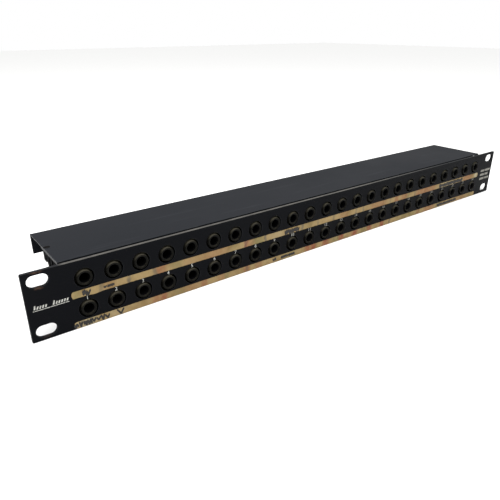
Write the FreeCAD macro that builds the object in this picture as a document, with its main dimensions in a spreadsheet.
"""One-unit rack patch bay: two rows of quarter-inch jacks on a mid-plane circuit board,
behind a flat front panel, between two folded covers.

Frame: millimetres, +X to the right of the front panel, +Y to the rear, +Z up. The origin is
the centre of the rack-slot pattern on the panel's front face.

The lower row is the upper row turned half a turn about the Y axis, as the same jack is used
on both faces of the board. Every upper-row piece is therefore drawn once, for the left-hand
column, patterned along X and, for the lower row, turned by its body's Placement.
"""
import FreeCAD, Part
import os
import Sketcher

Vector = FreeCAD.Vector

SIZES = [
    # front panel
    ("panel_width", 482.6, "19-inch panel width"),
    ("panel_height", 43.66, "one-unit panel height"),
    ("panel_thick", 2.0, "panel sheet"),
    ("panel_corner", 1.0, "panel corner radius"),
    ("slot_margin", 8.75, "rack slot's centre to the panel's end"),
    ("slot_span_z", 31.75, "rack slots, centre to centre up"),
    ("slot_length", 12.0, "rack slot end to end"),
    ("slot_width", 7.4, "rack slot width"),
    # jack rows
    ("jack_count", 24, "jacks in a row"),
    ("jack_pitch", 18.0, "jack spacing along the row"),
    ("row_height", 10.2, "jack axis above the board's mid-plane"),
    ("bore_dia", 6.5, "socket bore for a 6.35 mm plug"),
    ("nose_wall", 1.5, "wall of the jack's nose round the bore"),
    ("nose_proud", 1.0, "jack nose in front of the panel"),
    ("nose_gap", 1.3, "radial gap between nose and panel hole"),
    ("nose_round", 0.6, "rounding of the nose's outer lip"),
    ("funnel", 0.7, "lead-in chamfer of the socket"),
    ("bushing", 8.5, "rear end of the guiding bore behind the panel face"),
    # jack housing
    ("housing_gap", 2.0, "gap between neighbouring housings"),
    ("crown_gap", 1.43, "gap between the housings and their cover"),
    ("side_wall", 2.5, "housing's side wall"),
    ("chamber_floor", 6.0, "chamber floor below the jack axis"),
    ("chamber_tail", 2.0, "chamber behind the ring tag"),
    ("block_tail", 4.0, "main block behind the ring tag"),
    ("trough_floor", 4.0, "terminal block's trough above the jack axis"),
    ("trough_tail", 2.0, "trough behind the tip tag"),
    ("terminal_tail", 6.0, "terminal block behind the tip tag"),
    ("terminal_foot", 6.0, "terminal block's underside below the jack axis"),
    # contact leaves
    ("leaf", 0.5, "contact strip thickness"),
    ("sleeve_root", 33.5, "sleeve tag behind the panel face"),
    ("tag_pitch", 6.5, "sleeve to ring and ring to tip tag"),
    ("tag_width", 1.6, "width of a tag standing in the housing's side"),
    ("groove_side", 0.2, "clearance each side of a tag in its groove"),
    ("leaf_rise", 6.2, "upper leaves' root above the jack axis"),
    ("leaf_drop", 5.2, "ring leaf's root below the jack axis"),
    ("arm_apart", 1.4, "gap between the tip and sleeve arms"),
    ("arm_clear", 0.6, "tip arm to its break contact, side by side"),
    ("arm_gap", 0.3, "gap between a tag and its arm"),
    ("crest_in", 0.75, "how far an arm's crest stands inside the bore's radius"),
    ("crest_rise", 1.4, "free end of an arm back from its crest"),
    ("crest_run", 2.5, "length of an arm in front of its crest"),
    ("sleeve_arm", 19.5, "sleeve tag to the sleeve arm's crest"),
    ("ring_arm", 20.0, "ring tag to the ring arm's crest"),
    ("tip_arm", 19.5, "tip tag to the tip arm's crest"),
    ("wiper_run", 1.6, "length of the side wiper at an arm's free end"),
    ("break_width", 1.4, "break contact's width"),
    ("break_side", 0.2, "break contact to the chamber's wall"),
    ("break_gap", 0.15, "break contact to wiper"),
    ("pin_dia", 1.0, "round end of a tag in the board"),
    ("pin_hole", 1.3, "plated hole in the board"),
    ("lug_width", 2.4, "wire lug width"),
    ("lug_pitch", 5.0, "wire lugs, centre to centre"),
    ("lug_drop", 2.0, "wire lugs below the jack axis"),
    ("lug_seat", 2.5, "depth of a lug in the terminal block"),
    ("lug_reach", 4.7, "wire lug behind the terminal block"),
    ("lug_hole", 1.2, "wire hole in a lug"),
    # circuit board
    ("board_thick", 1.6, "circuit board"),
    ("board_gap", 2.0, "board's front edge behind the panel"),
    ("board_tail", 1.5, "board behind the tip tag"),
    ("board_end", 1.2, "board beyond the last housing"),
    ("ear_depth", 16.0, "depth of the board's fixing ears"),
    ("ear_screw", 10.0, "board screw behind the board's front edge"),
    ("ear_short", 0.3, "board's ear short of the bracket's edge"),
    ("board_screw", 2.0, "board screw thread"),
    ("board_head", 3.6, "board screw head"),
    ("board_head_high", 1.3, "height of the board screw's head"),
    # covers
    ("cover_gap", 3.2, "front edge of a cover behind the panel"),
    ("cover_side", 0.2, "cover beyond the bracket's arms"),
    ("cover_drop", 0.4, "cover face below the panel's edge"),
    ("cover_thick", 1.0, "cover sheet"),
    ("cover_bend", 1.6, "outside radius of the cover's fold"),
    ("lip_gap", 1.8, "wire lugs to the rear lip"),
    ("top_lip_edge", 7.2, "edge of the top cover's rear lip above the mid-plane"),
    ("low_lip_edge", 17.0, "edge of the bottom cover's short rear lip below the mid-plane"),
    ("cover_screw", 2.5, "cover screw thread"),
    ("cover_head", 4.0, "countersunk head of a cover screw"),
    ("screw_side", 0.15, "radial clearance of a screw in a plain hole"),
    ("screw_length", 5.0, "length of every screw"),
    ("driver_slot", 0.5, "width and depth of the driver's slot in a screw"),
    # end brackets
    ("bracket_thick", 1.2, "bracket sheet"),
    ("bracket_gap", 0.3, "last housing to the bracket"),
    ("arm_breadth", 4.0, "breadth of the bracket's arms"),
    ("arm_depth", 35.0, "bracket's cover arms behind the panel"),
    ("arm_hole", 29.0, "cover screw behind the panel"),
    ("leaf_flange", 5.3, "bracket's leaf beyond its arms"),
    ("stud_in", 3.0, "welded stud from the leaf's outer edge"),
    ("stud_z", 12.0, "welded stud from the mid-plane"),
    ("stud_dia", 3.0, "welded stud"),
    ("stud_spare", 1.0, "welded stud beyond its nut"),
    ("nut_flats", 5.5, "stud nut across flats"),
    ("nut_thick", 2.4, "stud nut"),
    # writing strips
    ("tape_thick", 0.15, "paper tape"),
    ("tape_end", 0.6, "tapes beyond the last housing"),
    ("upper_tape_start", 1.3, "upper tape beyond the first housing"),
    ("lower_tape_start", 3.0, "lower tape beyond the first housing"),
    ("upper_tape", 5.0, "height of the tape between the rows"),
    ("upper_tape_lift", 0.4, "middle of that tape above the mid-plane"),
    ("lower_tape", 4.5, "height of the tape at the panel's lower edge"),
    ("lower_tape_rise", 0.2, "that tape above the panel's lower edge"),
]

doc = FreeCAD.newDocument("patch_bay")
sheet = doc.addObject("Spreadsheet::Sheet", "Sizes")
for line, (alias, number, meaning) in enumerate(SIZES, start=1):
    sheet.set(f"A{line}", alias)
    sheet.set(f"B{line}", str(number))
    sheet.set(f"C{line}", meaning)
    sheet.setAlias(f"B{line}", alias)
doc.recompute()

# Places that several pieces share, as expressions on the sheet.
HOUSING_WIDTH = "(Sizes.jack_pitch - Sizes.housing_gap)"
FIRST_X = "(-(Sizes.jack_count - 1) / 2 * Sizes.jack_pitch)"
HOUSING_LEFT = f"({FIRST_X} - {HOUSING_WIDTH} / 2)"
ROW_HALF = f"(-{HOUSING_LEFT})"
SLOT_X = "(Sizes.panel_width / 2 - Sizes.slot_margin)"
NOSE_DIA = "(Sizes.bore_dia + 2 * Sizes.nose_wall)"
CHAMBER_HALF = f"({HOUSING_WIDTH} / 2 - Sizes.side_wall)"
BOARD_FACE = "(Sizes.board_thick / 2)"
BOARD_FRONT = "(Sizes.panel_thick + Sizes.board_gap)"
EAR_REAR = f"({BOARD_FRONT} + Sizes.ear_depth)"
EAR_Y = f"({BOARD_FRONT} + Sizes.ear_screw)"
RING_ROOT = "(Sizes.sleeve_root + Sizes.tag_pitch)"
TIP_ROOT = "(Sizes.sleeve_root + 2 * Sizes.tag_pitch)"
CHAMBER_REAR = f"({RING_ROOT} + Sizes.chamber_tail)"
BLOCK_REAR = f"({RING_ROOT} + Sizes.block_tail)"
TERMINAL_REAR = f"({TIP_ROOT} + Sizes.terminal_tail)"
LUG_REAR = f"({TERMINAL_REAR} + Sizes.lug_reach)"
UPPER_ROOT = "(Sizes.row_height + Sizes.leaf_rise)"
LOWER_ROOT = "(Sizes.row_height - Sizes.leaf_drop)"
CREST = "(Sizes.bore_dia / 2 - Sizes.crest_in)"
SLEEVE_CREST = "(Sizes.sleeve_root - Sizes.sleeve_arm)"
RING_CREST = f"({RING_ROOT} - Sizes.ring_arm)"
TIP_CREST = f"({TIP_ROOT} - Sizes.tip_arm)"
COVER_FACE = "(Sizes.panel_height / 2 - Sizes.cover_drop)"
COVER_UNDER = f"({COVER_FACE} - Sizes.cover_thick)"
COVER_REAR = f"({LUG_REAR} + Sizes.lip_gap + Sizes.cover_thick)"
CROWN = f"({COVER_UNDER} - Sizes.crown_gap)"
BRACKET_BACK = "(Sizes.panel_thick + Sizes.bracket_thick)"
COVER_FRONT = "(Sizes.panel_thick + Sizes.cover_gap)"
ARM_IN = f"({ROW_HALF} + Sizes.bracket_gap)"
ARM_OUT = f"({ARM_IN} + Sizes.arm_breadth)"
ARM_MIDDLE = f"({ARM_IN} + Sizes.arm_breadth / 2)"
LEAF_OUT = f"({ARM_OUT} + Sizes.leaf_flange)"
STUD_X = f"({LEAF_OUT} - Sizes.stud_in)"
ARM_HOLE_Y = "(Sizes.panel_thick + Sizes.arm_hole)"
COVER_HALF = f"({ARM_OUT} + Sizes.cover_side)"
EAR_HALF = f"({ARM_OUT} - Sizes.ear_short)"
TAG_X = f"(-{HOUSING_WIDTH} / 2 + Sizes.pin_hole / 2)"
BREAK_FAR = f"({CHAMBER_HALF} - Sizes.break_side)"
BREAK_X = f"({BREAK_FAR} - Sizes.break_width / 2)"
ARM_WIDTH = f"({BREAK_FAR} - Sizes.break_width - Sizes.arm_clear - Sizes.arm_apart / 2)"
ARM_X = f"({ARM_WIDTH} / 2 + Sizes.arm_apart / 2)"
TIP_BREAK_Y = f"({TIP_CREST} - Sizes.crest_run + Sizes.wiper_run + Sizes.leaf)"
RING_BREAK_Y = f"({RING_CREST} - Sizes.crest_run - Sizes.leaf)"
HALF_TURN = FreeCAD.Placement(Vector(0, 0, 0), FreeCAD.Rotation(Vector(0, 1, 0), 180))


def new_body(name):
    """An empty body whose label names its file."""
    body = doc.addObject("PartDesign::Body", name)
    body.Label = name
    body.AllowCompound = True
    return body


def origin_part(body, role):
    """A plane or axis of the body's own origin."""
    return [part for part in body.Origin.OriginFeatures if part.Role == role][0]


def add_sketch(body, plane, offset="0"):
    """A sketch on an origin plane, moved along the plane's normal by an expression."""
    sketch = body.newObject("Sketcher::SketchObject", f"{body.Name}_sketch")
    sketch.AttachmentSupport = [(origin_part(body, plane), "")]
    sketch.MapMode = "FlatFace"
    sketch.AttachmentOffset = FreeCAD.Placement(Vector(0, 0, 1), FreeCAD.Rotation())
    sketch.setExpression("AttachmentOffset.Base.z", offset)
    return sketch


def bind(sketch, kind, geometry, point, start, expression):
    """A signed distance of one point from the sketch's origin, bound to the sheet."""
    index = sketch.addConstraint(Sketcher.Constraint(kind, -1, 1, geometry, point, start))
    sketch.setExpression(f"Constraints[{index}]", expression)


def add_outline(sketch, corners):
    """A closed outline of straight edges; each corner is a pair of expressions."""
    count = len(corners)
    turn = FreeCAD.Rotation(Vector(0, 0, 1), 360 / count)
    starts = [Vector(10, 0, 0)]
    for _ in range(count - 1):
        starts.append(turn.multVec(starts[-1]))
    base = sketch.GeometryCount
    for k in range(count):
        sketch.addGeometry(Part.LineSegment(starts[k], starts[(k + 1) % count]), False)
    for k in range(count):
        following = base + (k + 1) % count
        sketch.addConstraint(Sketcher.Constraint("Coincident", base + k, 2, following, 1))
    for k, (across, up) in enumerate(corners):
        bind(sketch, "DistanceX", base + k, 1, starts[k].x, across)
        bind(sketch, "DistanceY", base + k, 1, starts[k].y, up)


def add_rectangle(sketch, left, right, low, high):
    """A rectangle between four expressions."""
    add_outline(sketch, [(left, low), (right, low), (right, high), (left, high)])


def add_circle(sketch, across, up, diameter):
    """A circle whose centre and diameter are expressions."""
    index = sketch.addGeometry(Part.Circle(Vector(5, 5, 0), Vector(0, 0, 1), 2), False)
    bind(sketch, "DistanceX", index, 3, 5, across)
    bind(sketch, "DistanceY", index, 3, 5, up)
    size = sketch.addConstraint(Sketcher.Constraint("Diameter", index, 4))
    sketch.setExpression(f"Constraints[{size}]", diameter)


def pad(body, sketch, length, backwards=False):
    """Material from a sketch; XZ sketches face the front, so backwards pads go to the rear."""
    feature = body.newObject("PartDesign::Pad", f"{body.Name}_pad")
    feature.Profile = sketch
    feature.Reversed = backwards
    feature.setExpression("Length", length)
    return feature


def pocket(body, sketch, length, backwards=False):
    """A cut from a sketch, checked to have removed material."""
    doc.recompute()
    before = body.Tip.Shape.Volume
    feature = body.newObject("PartDesign::Pocket", f"{body.Name}_pocket")
    feature.Profile = sketch
    feature.Reversed = backwards
    feature.setExpression("Length", length)
    doc.recompute()
    if feature.Shape.Volume > before - 1e-3:
        raise RuntimeError(f"{feature.Name} cuts nothing")
    return feature


def block(body, x, y, z):
    """A rectangular block; x, y and z are pairs of expressions."""
    sketch = add_sketch(body, "XZ_Plane", f"-({y[0]})")
    add_rectangle(sketch, x[0], x[1], z[0], z[1])
    return pad(body, sketch, f"{y[1]} - ({y[0]})", backwards=True)


def cut_block(body, x, y, z):
    """A rectangular cut; x, y and z are pairs of expressions."""
    sketch = add_sketch(body, "XZ_Plane", f"-({y[0]})")
    add_rectangle(sketch, x[0], x[1], z[0], z[1])
    return pocket(body, sketch, f"{y[1]} - ({y[0]})")


def side_strip(body, x, outline):
    """A strip drawn on a YZ plane and padded along X between two expressions."""
    sketch = add_sketch(body, "YZ_Plane", x[0])
    add_outline(sketch, outline)
    return pad(body, sketch, f"{x[1]} - ({x[0]})")


def along_row(body, feature=None):
    """Repeats one feature, or the whole body, at every jack of the row."""
    pattern = body.newObject("PartDesign::LinearPattern", f"{body.Name}_row")
    pattern.Originals = [feature or body.Tip]
    pattern.TransformMode = "Features" if feature else "Whole shape"
    pattern.Direction = (origin_part(body, "X_Axis"), [""])
    pattern.Mode = "Spacing"
    pattern.setExpression("Offset", "Sizes.jack_pitch")
    pattern.setExpression("Occurrences", "Sizes.jack_count")
    body.Tip = pattern


def turn_over(body, turned):
    """Puts a piece of the lower row in its place."""
    if turned:
        body.Placement = HALF_TURN


def from_jack(distance):
    """An X place measured from the left-hand jack's axis."""
    return f"{FIRST_X} + ({distance})"


def runs_along(edge, axis):
    """True for an edge that runs along x, y or z."""
    middle = (edge.FirstParameter + edge.LastParameter) / 2
    return abs(getattr(edge.tangentAt(middle), axis)) > 0.999


def dress(body, kind, size, test):
    """A Fillet or Chamfer on the edges of the body's tip that a test of edge and box picks."""
    doc.recompute()
    base = body.Tip
    box = base.Shape.BoundBox
    names = [f"Edge{k}" for k, edge in enumerate(base.Shape.Edges, start=1) if test(edge, box)]
    if not names:
        raise RuntimeError(f"{body.Name}: no edge to {kind.lower()}")
    feature = body.newObject(f"PartDesign::{kind}", f"{body.Name}_{kind.lower()}")
    feature.Base = (base, names)
    feature.setExpression("Radius" if kind == "Fillet" else "Size", size)
    doc.recompute()
    return feature


def near(place, other):
    """True for two places that are the same to a tenth of a micron."""
    return abs(place - other) < 1e-4


def number(alias):
    """A size's value, where an edge has to be found by its place."""
    return float(sheet.get(alias))


def make_front_panel():
    """Flat panel with four rack slots, two rows of jack holes and four welded studs."""
    body = new_body("front_panel")
    block(body, ("-Sizes.panel_width / 2", "Sizes.panel_width / 2"), ("0", "Sizes.panel_thick"),
          ("-Sizes.panel_height / 2", "Sizes.panel_height / 2"))
    dress(body, "Fillet", "Sizes.panel_corner", lambda edge, box: runs_along(edge, "y"))
    studs = add_sketch(body, "XZ_Plane", "-Sizes.panel_thick")
    for side in ("-", ""):
        for level in ("-", ""):
            add_circle(studs, f"{side}{STUD_X}", f"{level}Sizes.stud_z", "Sizes.stud_dia")
    pad(body, studs, "Sizes.bracket_thick + Sizes.nut_thick + Sizes.stud_spare", backwards=True)
    straight = "(Sizes.slot_length - Sizes.slot_width) / 2"
    middles = add_sketch(body, "XZ_Plane")
    for side in ("-", ""):
        for level in ("-", ""):
            across = f"{side}{SLOT_X}"
            up = f"{level}Sizes.slot_span_z / 2"
            add_rectangle(middles, f"{across} - {straight}", f"{across} + {straight}",
                          f"{up} - Sizes.slot_width / 2", f"{up} + Sizes.slot_width / 2")
    pocket(body, middles, "Sizes.panel_thick")
    for direction in ("-", "+"):
        ends = add_sketch(body, "XZ_Plane")
        for side in ("-", ""):
            for level in ("-", ""):
                add_circle(ends, f"{side}{SLOT_X} {direction} {straight}",
                           f"{level}Sizes.slot_span_z / 2", "Sizes.slot_width")
        pocket(body, ends, "Sizes.panel_thick")
    holes = add_sketch(body, "XZ_Plane")
    for level in ("-", ""):
        add_circle(holes, FIRST_X, f"{level}Sizes.row_height", f"{NOSE_DIA} + 2 * Sizes.nose_gap")
    along_row(body, pocket(body, holes, "Sizes.panel_thick"))


def make_cover(name, lip_edge, turned):
    """Folded cover: a flat sheet with a rear lip down to lip_edge, open at both ends."""
    body = new_body(name)
    inside = f"{COVER_REAR} - Sizes.cover_thick"
    side_strip(body, (f"-{COVER_HALF}", COVER_HALF), [
        (COVER_FRONT, COVER_FACE), (COVER_FRONT, COVER_UNDER), (inside, COVER_UNDER),
        (inside, lip_edge), (COVER_REAR, lip_edge), (COVER_REAR, COVER_FACE),
    ])
    dress(body, "Fillet", "Sizes.cover_bend",
          lambda edge, box: runs_along(edge, "x") and near(edge.CenterOfMass.y, box.YMax)
          and near(edge.CenterOfMass.z, box.ZMax))
    thick = number("cover_thick")
    dress(body, "Fillet", "Sizes.cover_bend - Sizes.cover_thick",
          lambda edge, box: runs_along(edge, "x") and near(edge.CenterOfMass.y, box.YMax - thick)
          and near(edge.CenterOfMass.z, box.ZMax - thick))
    shank = add_sketch(body, "XY_Plane", COVER_FACE)
    for side in ("-", ""):
        add_circle(shank, f"{side}{ARM_MIDDLE}", ARM_HOLE_Y,
                   "Sizes.cover_screw + 2 * Sizes.screw_side")
    pocket(body, shank, "Sizes.cover_thick")
    dress(body, "Chamfer", "(Sizes.cover_head - Sizes.cover_screw) / 2",
          lambda edge, box: edge.Closed and near(edge.CenterOfMass.z, box.ZMax))
    turn_over(body, turned)


def make_end_bracket(name):
    """Sheet bracket on two panel studs, with an arm under each cover and a tab for the board."""
    body = new_body(name)
    sheet_sides = (f"-{LEAF_OUT}", f"-{ARM_IN}")
    arm_sides = (f"-{ARM_OUT}", f"-{ARM_IN}")
    arm_run = ("Sizes.panel_thick", "Sizes.panel_thick + Sizes.arm_depth")
    block(body, sheet_sides, ("Sizes.panel_thick", BRACKET_BACK), (f"-{COVER_UNDER}", COVER_UNDER))
    block(body, arm_sides, arm_run, (f"{COVER_UNDER} - Sizes.bracket_thick", COVER_UNDER))
    block(body, arm_sides, arm_run, (f"-{COVER_UNDER}", f"-{COVER_UNDER} + Sizes.bracket_thick"))
    block(body, arm_sides, ("Sizes.panel_thick", EAR_REAR),
          (f"-{BOARD_FACE} - Sizes.bracket_thick", f"-{BOARD_FACE}"))
    stud_holes = add_sketch(body, "XZ_Plane", "-Sizes.panel_thick")
    for level in ("-", ""):
        add_circle(stud_holes, f"-{STUD_X}", f"{level}Sizes.stud_z",
                   "Sizes.stud_dia + 2 * Sizes.screw_side")
    pocket(body, stud_holes, "Sizes.bracket_thick")
    tapped = add_sketch(body, "XY_Plane", COVER_UNDER)
    add_circle(tapped, f"-{ARM_MIDDLE}", ARM_HOLE_Y, "Sizes.cover_screw")
    pocket(body, tapped, f"2 * {COVER_UNDER}")
    board_hole = add_sketch(body, "XY_Plane", f"-{BOARD_FACE}")
    add_circle(board_hole, f"-{ARM_MIDDLE}", EAR_Y, "Sizes.board_screw")
    pocket(body, board_hole, "Sizes.bracket_thick")
    return body


def make_mirror(name, source):
    """A second bracket, mirrored across the middle of the panel."""
    mirror = doc.addObject("Part::Mirroring", name)
    mirror.Label = name
    mirror.Source = source
    mirror.Base = Vector(0, 0, 0)
    mirror.Normal = Vector(1, 0, 0)
    return mirror


def make_board():
    """Circuit board in the mid-plane with fixing ears and a hole for every pin."""
    body = new_body("jack_board")
    sketch = add_sketch(body, "XY_Plane", f"-{BOARD_FACE}")
    end = f"({ROW_HALF} + Sizes.board_end)"
    rear = f"{TIP_ROOT} + Sizes.board_tail"
    add_outline(sketch, [
        (f"-{EAR_HALF}", BOARD_FRONT), (EAR_HALF, BOARD_FRONT), (EAR_HALF, EAR_REAR),
        (end, EAR_REAR), (end, rear), (f"-{end}", rear), (f"-{end}", EAR_REAR),
        (f"-{EAR_HALF}", EAR_REAR),
    ])
    pad(body, sketch, "Sizes.board_thick")
    screws = add_sketch(body, "XY_Plane", BOARD_FACE)
    for side in ("-", ""):
        add_circle(screws, f"{side}{ARM_MIDDLE}", EAR_Y,
                   "Sizes.board_screw + 2 * Sizes.screw_side")
    pocket(body, screws, "Sizes.board_thick")
    holes = add_sketch(body, "XY_Plane", BOARD_FACE)
    for side in ("", "-1 * "):
        for across, root in pin_places():
            add_circle(holes, f"{FIRST_X} + {side}{across}", root, "Sizes.pin_hole")
    along_row(body, pocket(body, holes, "Sizes.board_thick"))


def pin_places():
    """Pins of one jack: distance from its axis and from the panel face."""
    return [
        (TAG_X, "Sizes.sleeve_root"), (TAG_X, RING_ROOT), (TAG_X, TIP_ROOT),
        (BREAK_X, TIP_BREAK_Y), (f"(-{BREAK_X})", RING_BREAK_Y),
    ]


def make_housings(name, turned):
    """Moulded jack housings: nose, guiding bore, contact chamber and terminal block."""
    body = new_body(name)
    sides = (HOUSING_LEFT, from_jack(f"{HOUSING_WIDTH} / 2"))
    block(body, sides, ("Sizes.panel_thick", BLOCK_REAR), (BOARD_FACE, CROWN))
    block(body, sides, (BLOCK_REAR, TERMINAL_REAR),
          ("Sizes.row_height - Sizes.terminal_foot", CROWN))
    nose = add_sketch(body, "XZ_Plane", "Sizes.nose_proud")
    add_circle(nose, FIRST_X, "Sizes.row_height", NOSE_DIA)
    pad(body, nose, "Sizes.nose_proud + Sizes.panel_thick", backwards=True)
    dress(body, "Fillet", "Sizes.nose_round",
          lambda edge, box: edge.Closed and near(edge.CenterOfMass.y, box.YMin))
    bore = add_sketch(body, "XZ_Plane", "Sizes.nose_proud")
    add_circle(bore, FIRST_X, "Sizes.row_height", "Sizes.bore_dia")
    pocket(body, bore, f"Sizes.nose_proud + {CHAMBER_REAR}")
    widest = number("bore_dia") / 2 + number("nose_round")
    dress(body, "Chamfer", "Sizes.funnel",
          lambda edge, box: edge.Closed and near(edge.CenterOfMass.y, box.YMin)
          and edge.Curve.Radius < widest)
    inside = (from_jack(f"-{CHAMBER_HALF}"), from_jack(CHAMBER_HALF))
    cut_block(body, inside, ("Sizes.bushing", CHAMBER_REAR),
              ("Sizes.row_height - Sizes.chamber_floor", CROWN))
    cut_block(body, inside, (CHAMBER_REAR, f"{TIP_ROOT} + Sizes.trough_tail"),
              ("Sizes.row_height + Sizes.trough_floor", CROWN))
    groove = "Sizes.leaf + Sizes.groove_side + Sizes.pin_hole / 2"
    side_room = "Sizes.tag_width / 2 + Sizes.groove_side"
    for root, level in (("Sizes.sleeve_root", UPPER_ROOT), (RING_ROOT, LOWER_ROOT),
                        (TIP_ROOT, UPPER_ROOT)):
        reach = (f"{root} - ({side_room})", f"{root} + ({side_room})")
        cut_block(body, (HOUSING_LEFT, f"{HOUSING_LEFT} + {groove}"), reach, (BOARD_FACE, CROWN))
        cut_block(body, (HOUSING_LEFT, from_jack(f"-{CHAMBER_HALF}")), reach,
                  (f"{level} - Sizes.leaf / 2 - Sizes.groove_side", CROWN))
    breaks = add_sketch(body, "XY_Plane", "Sizes.row_height")
    for across, root in pin_places()[3:]:
        add_rectangle(breaks, from_jack(f"{across} - Sizes.break_width / 2 - Sizes.break_side"),
                      from_jack(f"{across} + Sizes.break_width / 2 + Sizes.break_side"),
                      f"{root} - Sizes.pin_hole / 2", f"{root} + Sizes.pin_hole / 2")
    pocket(body, breaks, "Sizes.row_height")
    seats = add_sketch(body, "XZ_Plane", f"-({TERMINAL_REAR} - Sizes.lug_seat)")
    low = "Sizes.row_height - Sizes.lug_drop"
    for middle in lug_middles():
        add_rectangle(seats, f"{middle} - Sizes.lug_width / 2", f"{middle} + Sizes.lug_width / 2",
                      f"{low} - Sizes.leaf / 2", f"{low} + Sizes.leaf / 2")
    pocket(body, seats, "Sizes.lug_seat")
    along_row(body)
    turn_over(body, turned)


def lug_middles():
    """The three wire lugs of the left-hand jack, evenly spread across its housing."""
    return [f"{FIRST_X} + {step} * Sizes.lug_pitch" for step in ("-1", "0", "1")]


def make_tags(name, root, level, inner, turned):
    """Tags: a blade up the housing's side, a strip inwards to the arm, a round pin below."""
    body = new_body(name)
    across = (f"{root} - Sizes.tag_width / 2", f"{root} + Sizes.tag_width / 2")
    blade = (f"{from_jack(TAG_X)} - Sizes.leaf / 2", f"{from_jack(TAG_X)} + Sizes.leaf / 2")
    block(body, blade, across, (BOARD_FACE, f"{level} + Sizes.leaf / 2"))
    block(body, (blade[0], from_jack(inner)), across,
          (f"{level} - Sizes.leaf / 2", f"{level} + Sizes.leaf / 2"))
    add_pins(body, TAG_X, root)
    along_row(body)
    turn_over(body, turned)


def add_pins(body, across, root):
    """The round end that a tag or break contact has in the board."""
    pin = add_sketch(body, "XY_Plane", f"-{BOARD_FACE}")
    add_circle(pin, from_jack(across), root, "Sizes.pin_dia")
    pad(body, pin, "Sizes.board_thick")


def make_arms(name, root, crest, level, away, middle, wiper, turned):
    """Sprung contact arms, each a straight leaf with a crest towards the plug.

    away is + for an arm above the plug and - for one below; wiper is the side, + or -, to
    which the free end reaches over its break contact, or empty for none.
    """
    body = new_body(name)
    centre = from_jack(middle)
    start = f"{root} - Sizes.tag_width / 2 - Sizes.arm_gap"
    end = f"{crest} - Sizes.crest_run"
    knee = f"{end} + Sizes.wiper_run"
    peak = f"Sizes.row_height {away} {CREST}"
    free = f"{peak} {away} Sizes.crest_rise"
    side_strip(body, (f"{centre} - {ARM_WIDTH} / 2", f"{centre} + {ARM_WIDTH} / 2"), [
        (start, f"{level} - {away}1 * Sizes.leaf / 2"), (crest, peak), (knee, free), (end, free),
        (end, f"{free} {away} Sizes.leaf"), (knee, f"{free} {away} Sizes.leaf"),
        (crest, f"{peak} {away} Sizes.leaf"), (start, f"{level} + {away}1 * Sizes.leaf / 2"),
    ])
    if wiper:
        reach = sorted_pair(wiper, centre, from_jack(f"{wiper}1 * {BREAK_FAR}"))
        block(body, reach, (end, knee), sorted_pair(away, free, f"{free} {away} Sizes.leaf"))
    along_row(body)
    turn_over(body, turned)


def sorted_pair(sign, near_end, far_end):
    """A low and a high place, from a place and one beyond it on the + or - side."""
    return (near_end, far_end) if sign == "+" else (far_end, near_end)


def make_breaks(name, place, away, crest, turned):
    """Break contacts: a leg up from the board and a pad that meets an arm's wiper.

    away is + for the contact of an arm above the plug and - for one below.
    """
    body = new_body(name)
    across, root = place
    sides = (from_jack(f"{across} - Sizes.break_width / 2"),
             from_jack(f"{across} + Sizes.break_width / 2"))
    wiper = f"Sizes.row_height {away} ({CREST} + Sizes.crest_rise - Sizes.break_gap)"
    level = sorted_pair(away, f"{wiper} - {away}1 * Sizes.leaf", wiper)
    wiper_run = (f"{crest} - Sizes.crest_run", f"{crest} - Sizes.crest_run + Sizes.wiper_run")
    leg = (f"{root} - Sizes.leaf / 2", f"{root} + Sizes.leaf / 2")
    reach = (wiper_run[0], leg[1]) if away == "+" else (leg[0], wiper_run[1])
    block(body, sides, leg, (BOARD_FACE, level[1]))
    block(body, sides, reach, level)
    add_pins(body, across, root)
    along_row(body)
    turn_over(body, turned)


def make_lugs(name, turned):
    """Wire lugs: three flat eyelets standing out of each terminal block."""
    body = new_body(name)
    level = "Sizes.row_height - Sizes.lug_drop"
    outline = add_sketch(body, "XY_Plane", f"{level} - Sizes.leaf / 2")
    eyes = add_sketch(body, "XY_Plane", f"{level} + Sizes.leaf / 2")
    for middle in lug_middles():
        add_rectangle(outline, f"{middle} - Sizes.lug_width / 2",
                      f"{middle} + Sizes.lug_width / 2",
                      f"{TERMINAL_REAR} - Sizes.lug_seat", LUG_REAR)
        add_circle(eyes, middle, f"{LUG_REAR} - Sizes.lug_width / 2", "Sizes.lug_hole")
    pad(body, outline, "Sizes.leaf")
    pocket(body, eyes, "Sizes.leaf")
    along_row(body)
    turn_over(body, turned)


def turned_screw(body, across, behind, head_profile):
    """One slotted screw, turned about a vertical axis; its profile starts at the axis."""
    profile = add_sketch(body, "XZ_Plane", f"-{behind}")
    profile.setExpression("AttachmentOffset.Base.x", across)
    add_outline(profile, head_profile)
    doc.recompute()
    screw = body.newObject("PartDesign::Revolution", f"{body.Name}_turned")
    screw.Profile = profile
    screw.ReferenceAxis = (profile, ["V_Axis"])
    screw.Angle = 360
    doc.recompute()


def cut_driver_slot(body, across, behind, top, head):
    """The driver's slot across a screw's head, whose radius is head."""
    slot = add_sketch(body, "XY_Plane", top)
    add_rectangle(slot, f"{across} - {head}", f"{across} + {head}",
                  f"{behind} - Sizes.driver_slot / 2", f"{behind} + Sizes.driver_slot / 2")
    pocket(body, slot, "Sizes.driver_slot")


def mirror_body(body, plane):
    """Repeats the whole body across one of its own origin planes."""
    mirror = body.newObject("PartDesign::Mirrored", f"{body.Name}_mirrored")
    mirror.Originals = [body.Tip]
    mirror.TransformMode = "Whole shape"
    mirror.MirrorPlane = (origin_part(body, plane), [""])
    body.Tip = mirror


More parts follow.
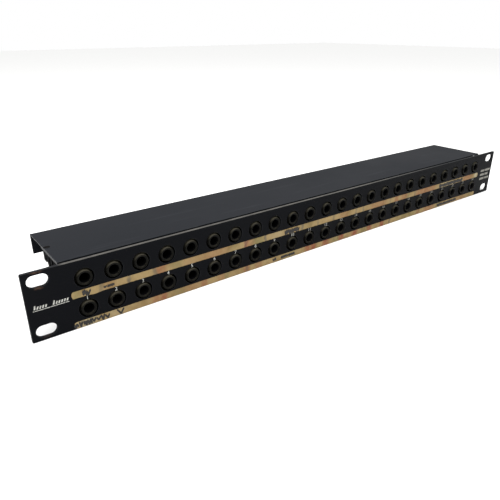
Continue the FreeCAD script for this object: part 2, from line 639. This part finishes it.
def make_cover_screws():
    """Countersunk screws through the covers into the bracket arms."""
    body = new_body("cover_screws")
    shank = "Sizes.cover_screw / 2"
    head = "Sizes.cover_head / 2"
    turned_screw(body, ARM_MIDDLE, ARM_HOLE_Y, [
        ("0", COVER_FACE), ("0", f"{COVER_FACE} - Sizes.screw_length"),
        (shank, f"{COVER_FACE} - Sizes.screw_length"),
        (shank, f"{COVER_FACE} - ({head} - {shank})"), (head, COVER_FACE),
    ])
    cut_driver_slot(body, ARM_MIDDLE, ARM_HOLE_Y, COVER_FACE, head)
    mirror_body(body, "YZ_Plane")
    mirror_body(body, "XY_Plane")


def make_board_screws():
    """Cheese-head screws through the board's ears into the bracket tabs."""
    body = new_body("board_screws")
    shank = "Sizes.board_screw / 2"
    head = "Sizes.board_head / 2"
    top = f"{BOARD_FACE} + Sizes.board_head_high"
    turned_screw(body, ARM_MIDDLE, EAR_Y, [
        ("0", top), ("0", f"{BOARD_FACE} - Sizes.screw_length"),
        (shank, f"{BOARD_FACE} - Sizes.screw_length"), (shank, BOARD_FACE),
        (head, BOARD_FACE), (head, top),
    ])
    cut_driver_slot(body, ARM_MIDDLE, EAR_Y, top, head)
    mirror_body(body, "YZ_Plane")


def make_stud_nuts():
    """Hexagon nuts on the panel's welded studs."""
    body = new_body("stud_nuts")
    sketch = add_sketch(body, "XZ_Plane", f"-{BRACKET_BACK}")
    corner = "Sizes.nut_flats / sqrt(3)"
    add_outline(sketch, [
        (f"{STUD_X} + {across} * {corner}", f"Sizes.stud_z + {up} * Sizes.nut_flats / 2")
        for across, up in (("1", "0"), ("0.5", "1"), ("-0.5", "1"), ("-1", "0"), ("-0.5", "-1"),
                           ("0.5", "-1"))
    ])
    add_circle(sketch, STUD_X, "Sizes.stud_z", "Sizes.stud_dia")
    pad(body, sketch, "Sizes.nut_thick", backwards=True)
    mirror_body(body, "YZ_Plane")
    mirror_body(body, "XY_Plane")


def make_tape(name, start, low, height):
    """A strip of paper tape stuck to the panel's face."""
    body = new_body(name)
    ends = (f"-({ROW_HALF} + {start})", f"{ROW_HALF} + Sizes.tape_end")
    block(body, ends, ("-Sizes.tape_thick", "0"), (low, f"{low} + {height}"))


make_front_panel()
make_cover("top_cover", "Sizes.top_lip_edge", turned=False)
make_cover("bottom_cover", "Sizes.low_lip_edge", turned=True)
left_bracket = make_end_bracket("end_bracket_left")
make_mirror("end_bracket_right", left_bracket)
make_board()
for row, turned in (("upper", False), ("lower", True)):
    make_housings(f"jack_housings_{row}", turned)
    make_tags(f"tip_tags_{row}", TIP_ROOT, UPPER_ROOT,
              f"{ARM_X} + {ARM_WIDTH} / 2", turned)
    make_tags(f"ring_tags_{row}", RING_ROOT, LOWER_ROOT, f"{ARM_WIDTH} / 2", turned)
    make_tags(f"sleeve_tags_{row}", "Sizes.sleeve_root", UPPER_ROOT,
              f"-{ARM_X} + {ARM_WIDTH} / 2", turned)
    make_arms(f"tip_arms_{row}", TIP_ROOT, TIP_CREST, UPPER_ROOT, "+", ARM_X, "+", turned)
    make_arms(f"ring_arms_{row}", RING_ROOT, RING_CREST, LOWER_ROOT, "-", "0", "-", turned)
    make_arms(f"sleeve_arms_{row}", "Sizes.sleeve_root", SLEEVE_CREST, UPPER_ROOT, "+",
              f"-{ARM_X}", "", turned)
    make_breaks(f"tip_breaks_{row}", pin_places()[3], "+", TIP_CREST, turned)
    make_breaks(f"ring_breaks_{row}", pin_places()[4], "-", RING_CREST, turned)
    make_lugs(f"wire_lugs_{row}", turned)
make_cover_screws()
make_board_screws()
make_stud_nuts()
make_tape("label_tape_upper", "Sizes.upper_tape_start",
          "Sizes.upper_tape_lift - Sizes.upper_tape / 2", "Sizes.upper_tape")
make_tape("label_tape_lower", "Sizes.lower_tape_start",
          "-Sizes.panel_height / 2 + Sizes.lower_tape_rise", "Sizes.lower_tape")
doc.recompute()

for item in doc.Objects:
    if any(word in state for state in item.State for word in ("Invalid", "Error")):
        raise RuntimeError(f"{item.Name} failed: {item.State}")

pieces = [item for item in doc.Objects
          if item.TypeId in ("PartDesign::Body", "Part::Mirroring")]
os.makedirs("parts", exist_ok=True)
for piece in pieces:
    shape = piece.Shape
    if shape.isNull() or not shape.isValid() or not shape.Solids:
        raise RuntimeError(f"{piece.Label} has no valid shape")
for piece in pieces:
    piece.Shape.exportStep(f"parts/{piece.Label}.step")
    box = piece.Shape.BoundBox
    print(f"{piece.Label}: {len(piece.Shape.Solids)} solids, {piece.Shape.Volume:.1f} mm3,"
          f" y {box.YMin:.2f}..{box.YMax:.2f}, z {box.ZMin:.2f}..{box.ZMax:.2f}")
